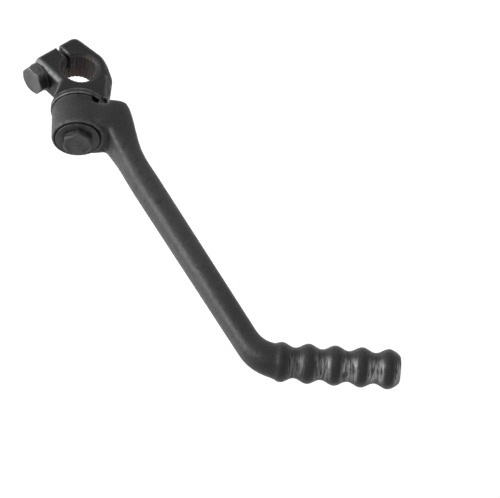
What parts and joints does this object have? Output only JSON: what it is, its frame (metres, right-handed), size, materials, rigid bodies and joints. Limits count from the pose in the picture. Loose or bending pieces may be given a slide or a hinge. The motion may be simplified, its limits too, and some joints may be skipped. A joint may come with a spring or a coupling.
{
  "type": "kick start lever",
  "caption": "Folding kick start lever: a serrated split clamp boss carries a cranked steel arm with a ribbed foot pedal that swings out on a pivot.",
  "frame": {"origin": "centre of the serrated bore that the kick shaft enters, midway through the boss", "axes": "+Y along the bore towards the engine, from which the shaft comes; +Z along the pivot of the arm, from the bore towards the pivot bolt's head; +X away from the pedal of the folded arm"},
  "size_m": [0.1646, 0.0242, 0.1821],
  "materials": {
    "boss_paint": "satin black, slightly grained",
    "arm_paint": "satin black",
    "bolt_steel": "black oxide",
    "washer_steel": "black oxide",
    "ball_steel": "polished",
    "spring_steel": "drawn wire"
  },
  "bodies": {
    "boss": {"clamp_boss": "boss_paint", "pinch_bolt": "bolt_steel", "pinch_washer": "washer_steel", "pivot_bolt": "bolt_steel", "pivot_washer": "washer_steel", "detent_spring": "spring_steel"},
    "arm": {"kick_arm": "arm_paint"},
    "ball": {"detent_ball": "ball_steel"}
  },
  "joints": [
    {"name": "arm_fold", "type": "hinge", "parent": "boss", "child": "arm", "pos_m": [0, 0, 0.027], "axis": [0, 0, 1], "range_deg": [0, 90]},
    {"name": "ball_press", "type": "slide", "parent": "boss", "child": "ball", "axis": [0, 0, -1], "range_m": [0, 0.0004], "stiffness_N_per_m": 2000, "springref_m": -0.001, "deforming": ["detent_spring"]}
  ]
}
